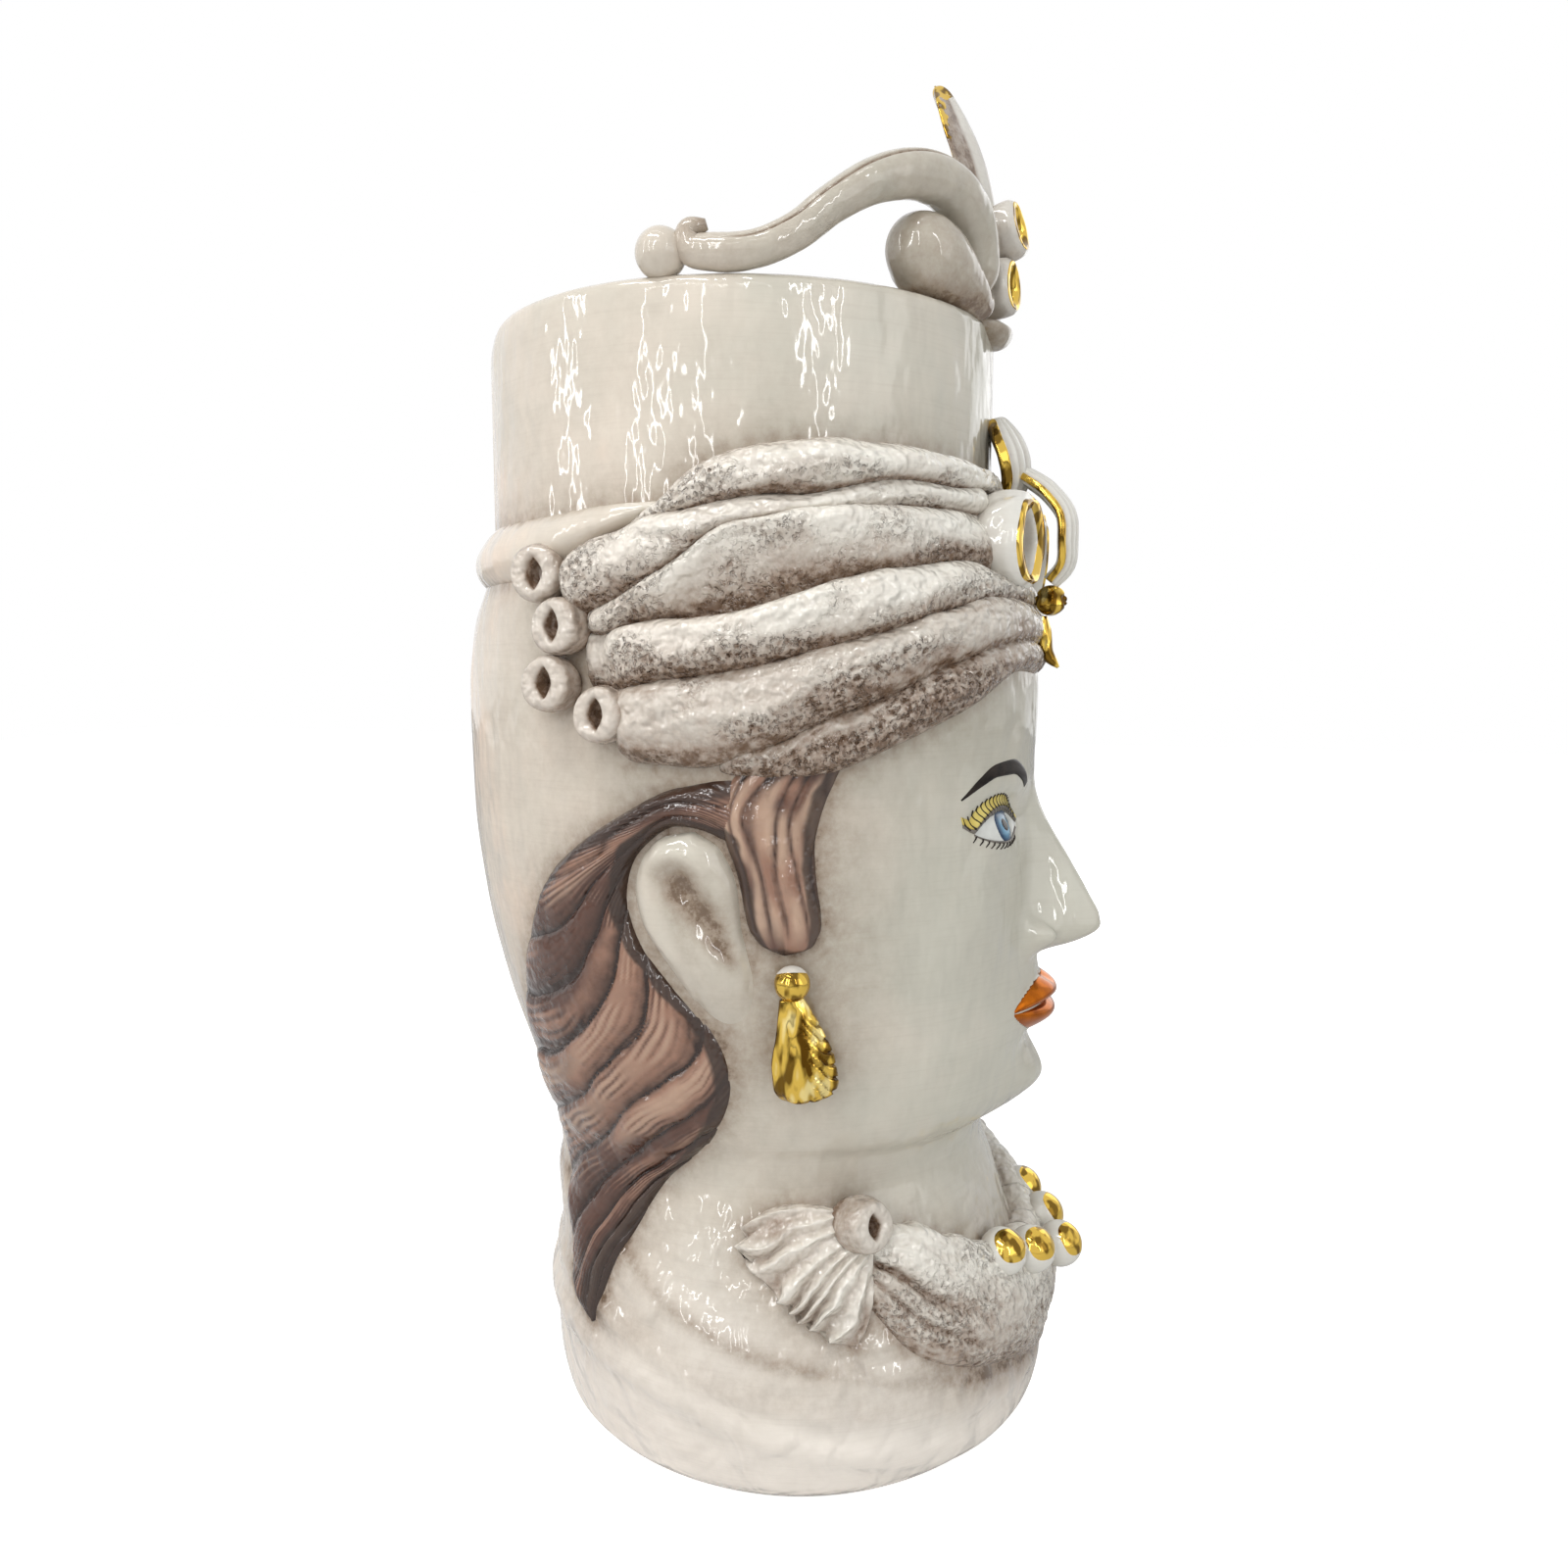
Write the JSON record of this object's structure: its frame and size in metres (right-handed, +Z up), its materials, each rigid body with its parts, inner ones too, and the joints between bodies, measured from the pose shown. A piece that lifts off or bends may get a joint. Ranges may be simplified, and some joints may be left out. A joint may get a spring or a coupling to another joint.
{
  "type": "head vase",
  "caption": "Tall hollow ceramic vase in the form of a head with a wrapped scarf and a straight hat, open at the hat's rim, on a flat foot.",
  "frame": {"origin": "centre of the foot's flat underside, on the surface that the vase stands on", "axes": "+Z up through the mouth; the face looks along -Y; the head's right side is at -X"},
  "size_m": [0.1954, 0.2265, 0.4511],
  "materials": {
    "cream_glaze": "glossy cream glaze with a thin taupe wash",
    "scarf_glaze": "glossy glaze over pitted clay, taupe in the pits",
    "umber_glaze": "glossy translucent brown glaze",
    "gold_lustre": "bright gold lustre over glaze"
  },
  "bodies": {
    "root": {"bead_1": "gold_lustre", "bead_2": "gold_lustre", "bead_3": "gold_lustre", "bead_4": "gold_lustre", "bead_5": "gold_lustre", "brim_roll": "cream_glaze", "brooch_bud": "gold_lustre", "brooch_curl": "scarf_glaze", "brooch_palmette": "scarf_glaze", "brooch_tendril": "gold_lustre", "crest_drop_left": "cream_glaze", "crest_drop_right": "cream_glaze", "crest_foot": "cream_glaze", "crest_plume": "cream_glaze", "crest_ring_lower": "gold_lustre", "crest_ring_upper": "gold_lustre", "crest_scroll_left": "cream_glaze", "crest_scroll_right": "cream_glaze", "ear_left": "cream_glaze", "ear_right": "cream_glaze", "earring_ball_left": "gold_lustre", "earring_ball_right": "gold_lustre", "earring_tassel_left": "gold_lustre", "earring_tassel_right": "gold_lustre", "fold_ring_1_left": "scarf_glaze", "fold_ring_1_right": "scarf_glaze", "fold_ring_2_left": "scarf_glaze", "fold_ring_2_right": "scarf_glaze", "fold_ring_3_left": "scarf_glaze", "fold_ring_3_right": "scarf_glaze", "fold_ring_4_left": "scarf_glaze", "fold_ring_4_right": "scarf_glaze", "front_ring_left": "scarf_glaze", "front_ring_right": "scarf_glaze", "hair_tail_left": "umber_glaze", "hair_tail_right": "umber_glaze", "head_vessel": "cream_glaze", "knot_ring_left": "scarf_glaze", "knot_ring_right": "scarf_glaze", "neck_swag": "scarf_glaze", "rim_ball_left": "cream_glaze", "rim_ball_right": "cream_glaze", "scarf_fan_left": "scarf_glaze", "scarf_fan_right": "scarf_glaze", "temple_lock_left": "umber_glaze", "temple_lock_right": "umber_glaze", "turban_fold_1_left": "scarf_glaze", "turban_fold_1_right": "scarf_glaze", "turban_fold_2_left": "scarf_glaze", "turban_fold_2_right": "scarf_glaze", "turban_fold_3_left": "scarf_glaze", "turban_fold_3_right": "scarf_glaze", "turban_fold_4_left": "scarf_glaze", "turban_fold_4_right": "scarf_glaze", "turban_fold_5_left": "scarf_glaze", "turban_fold_5_right": "scarf_glaze", "turban_fold_6_left": "scarf_glaze", "turban_fold_6_right": "scarf_glaze"}
  },
  "joints": []
}
